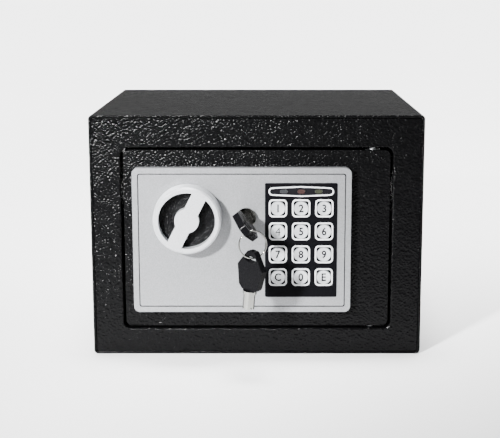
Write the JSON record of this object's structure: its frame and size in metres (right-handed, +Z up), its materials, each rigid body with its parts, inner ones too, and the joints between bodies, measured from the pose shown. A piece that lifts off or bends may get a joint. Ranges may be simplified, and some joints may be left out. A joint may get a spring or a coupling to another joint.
{
  "type": "in room safe",
  "caption": "Small electronic safe: steel cabinet, hinged door with turn knob, keypad, override lock with keys on a ring, sliding bolts and an inner cover.",
  "frame": {"origin": "centre of the underside, on the surface the safe stands on", "axes": "+X to the right of someone facing the door, +Y into the safe and out through its back, +Z up"},
  "size_m": [0.23, 0.2169, 0.17],
  "materials": {
    "powder_coat": "black leather-grain powder coat",
    "felt": "short grey felt",
    "silver_paint": "matt silver paint",
    "knob_silver": "satin silver paint",
    "black_insert": "fine grain",
    "keypad_grey": "satin film",
    "key_frame": "smooth white silver",
    "key_cap": "silver painted",
    "smoked_lens": "smoked",
    "lens_clear": "diffuse lens",
    "lens_red": "diffuse lens",
    "lens_green": "diffuse lens",
    "board": "solder mask",
    "switch_metal": "plated dome",
    "zinc": "zinc plated",
    "bolt_steel": "turned and plated",
    "screw_steel": "plated",
    "coil_tape": "amber tape",
    "chrome": "bright chrome",
    "plug_brass": "machined",
    "bow_black": "moulded",
    "box_black": "moulded",
    "cell_wrap": "printed sleeve",
    "reset_red": "moulded",
    "lead_red": "PVC insulation",
    "lead_blue": "PVC insulation"
  },
  "bodies": {
    "cabinet": {"cabinet_wrap": "powder_coat", "front_frame": "powder_coat", "back_panel": "powder_coat", "floor_mat": "felt"},
    "door": {"door_plate": "powder_coat", "hinge_pins": "zinc", "bezel": "silver_paint", "bezel_screws": "screw_steel", "face_plate": "silver_paint", "keypad_overlay": "keypad_grey", "key_surrounds": "key_frame", "led_window": "smoked_lens", "led_trim": "key_frame", "led_left": "lens_clear", "led_middle": "lens_red", "led_right": "lens_green", "circuit_board": "board", "key_switches": "switch_metal", "solenoid_frame": "zinc", "solenoid_coil": "coil_tape", "plunger_spring": "zinc", "lock_body": "chrome", "lock_nut": "screw_steel", "inner_cover": "powder_coat", "cover_pillars": "zinc", "cover_screws": "screw_steel", "battery_box": "box_black", "batteries": "cell_wrap", "battery_lead": "lead_red", "solenoid_lead": "lead_blue"},
    "knob": {"knob": "knob_silver", "knob_insert": "black_insert", "knob_shaft": "zinc", "knob_cam": "zinc"},
    "bolts": {"bolt_carriage": "zinc", "locking_bolts": "bolt_steel", "carriage_screws": "screw_steel"},
    "plunger": {"solenoid_plunger": "zinc"},
    "lock": {"lock_plug": "plug_brass", "lock_cam": "zinc", "lock_cam_screw": "screw_steel"},
    "key": {"key_shank": "chrome", "key_bow": "bow_black"},
    "ring": {"key_ring": "chrome"},
    "spare_key": {"spare_key_shank": "chrome", "spare_key_bow": "bow_black"},
    "hatch": {"battery_door": "box_black"},
    "reset": {"reset_button": "reset_red"},
    "button_1": {"key_1": "key_cap"},
    "button_2": {"key_2": "key_cap"},
    "button_3": {"key_3": "key_cap"},
    "button_4": {"key_4": "key_cap"},
    "button_5": {"key_5": "key_cap"},
    "button_6": {"key_6": "key_cap"},
    "button_7": {"key_7": "key_cap"},
    "button_8": {"key_8": "key_cap"},
    "button_9": {"key_9": "key_cap"},
    "button_c": {"key_c": "key_cap"},
    "button_0": {"key_0": "key_cap"},
    "button_e": {"key_e": "key_cap"}
  },
  "joints": [
    {"name": "door_hinge", "type": "hinge", "parent": "cabinet", "child": "door", "pos_m": [0.07975, -0.0787, 0.08325], "axis": [0, 0, 1], "range_deg": [0, 100]},
    {"name": "knob_turn", "type": "hinge", "parent": "door", "child": "knob", "pos_m": [-0.04725, -0.085, 0.10005], "axis": [0, -1, 0], "range_deg": [0, 60]},
    {"name": "bolt_slide", "type": "slide", "parent": "door", "child": "bolts", "axis": [-1, 0, 0], "range_m": [0, 0.014]},
    {"name": "lock_turn", "type": "hinge", "parent": "door", "child": "lock", "pos_m": [-0.00735, -0.085, 0.10005], "axis": [0, 1, 0], "range_deg": [0, 90]},
    {"name": "plunger_slide", "type": "slide", "parent": "door", "child": "plunger", "axis": [0, 0, 1], "range_m": [0, 0.005], "deforming": ["plunger_spring"]},
    {"name": "key_withdraw", "type": "slide", "parent": "lock", "child": "key", "axis": [0, -1, 0], "range_m": [0, 0.01]},
    {"name": "ring_swing", "type": "hinge", "parent": "key", "child": "ring", "pos_m": [-0.00569, -0.124, 0.09792], "axis": [0.9069, 0.1928, 0.3746], "range_deg": [-12, 12]},
    {"name": "spare_key_swing", "type": "hinge", "parent": "ring", "child": "spare_key", "pos_m": [-0.00232, -0.12328, 0.08019], "axis": [0.9781, 0.2079, 0], "range_deg": [-15, 15]},
    {"name": "hatch_slide", "type": "slide", "parent": "door", "child": "hatch", "axis": [0, 0, 1], "range_m": [0, 0.018]},
    {"name": "reset_press", "type": "slide", "parent": "door", "child": "reset", "axis": [0, -1, 0], "range_m": [0, 0.0012], "stiffness_N_per_m": 800, "springref_m": -0.0005},
    {"name": "press_1", "type": "slide", "parent": "door", "child": "button_1", "axis": [0, 1, 0], "range_m": [0, 0.0007], "stiffness_N_per_m": 1500, "springref_m": -0.0003},
    {"name": "press_2", "type": "slide", "parent": "door", "child": "button_2", "axis": [0, 1, 0], "range_m": [0, 0.0007], "stiffness_N_per_m": 1500, "springref_m": -0.0003},
    {"name": "press_3", "type": "slide", "parent": "door", "child": "button_3", "axis": [0, 1, 0], "range_m": [0, 0.0007], "stiffness_N_per_m": 1500, "springref_m": -0.0003},
    {"name": "press_4", "type": "slide", "parent": "door", "child": "button_4", "axis": [0, 1, 0], "range_m": [0, 0.0007], "stiffness_N_per_m": 1500, "springref_m": -0.0003},
    {"name": "press_5", "type": "slide", "parent": "door", "child": "button_5", "axis": [0, 1, 0], "range_m": [0, 0.0007], "stiffness_N_per_m": 1500, "springref_m": -0.0003},
    {"name": "press_6", "type": "slide", "parent": "door", "child": "button_6", "axis": [0, 1, 0], "range_m": [0, 0.0007], "stiffness_N_per_m": 1500, "springref_m": -0.0003},
    {"name": "press_7", "type": "slide", "parent": "door", "child": "button_7", "axis": [0, 1, 0], "range_m": [0, 0.0007], "stiffness_N_per_m": 1500, "springref_m": -0.0003},
    {"name": "press_8", "type": "slide", "parent": "door", "child": "button_8", "axis": [0, 1, 0], "range_m": [0, 0.0007], "stiffness_N_per_m": 1500, "springref_m": -0.0003},
    {"name": "press_9", "type": "slide", "parent": "door", "child": "button_9", "axis": [0, 1, 0], "range_m": [0, 0.0007], "stiffness_N_per_m": 1500, "springref_m": -0.0003},
    {"name": "press_c", "type": "slide", "parent": "door", "child": "button_c", "axis": [0, 1, 0], "range_m": [0, 0.0007], "stiffness_N_per_m": 1500, "springref_m": -0.0003},
    {"name": "press_0", "type": "slide", "parent": "door", "child": "button_0", "axis": [0, 1, 0], "range_m": [0, 0.0007], "stiffness_N_per_m": 1500, "springref_m": -0.0003},
    {"name": "press_e", "type": "slide", "parent": "door", "child": "button_e", "axis": [0, 1, 0], "range_m": [0, 0.0007], "stiffness_N_per_m": 1500, "springref_m": -0.0003}
  ],
  "couplings": [
    {"joint": "knob_turn", "follows": "bolt_slide", "rad_per_m": 74.8},
    {"joint": "lock_turn", "follows": "plunger_slide", "rad_per_m": 314.16}
  ]
}
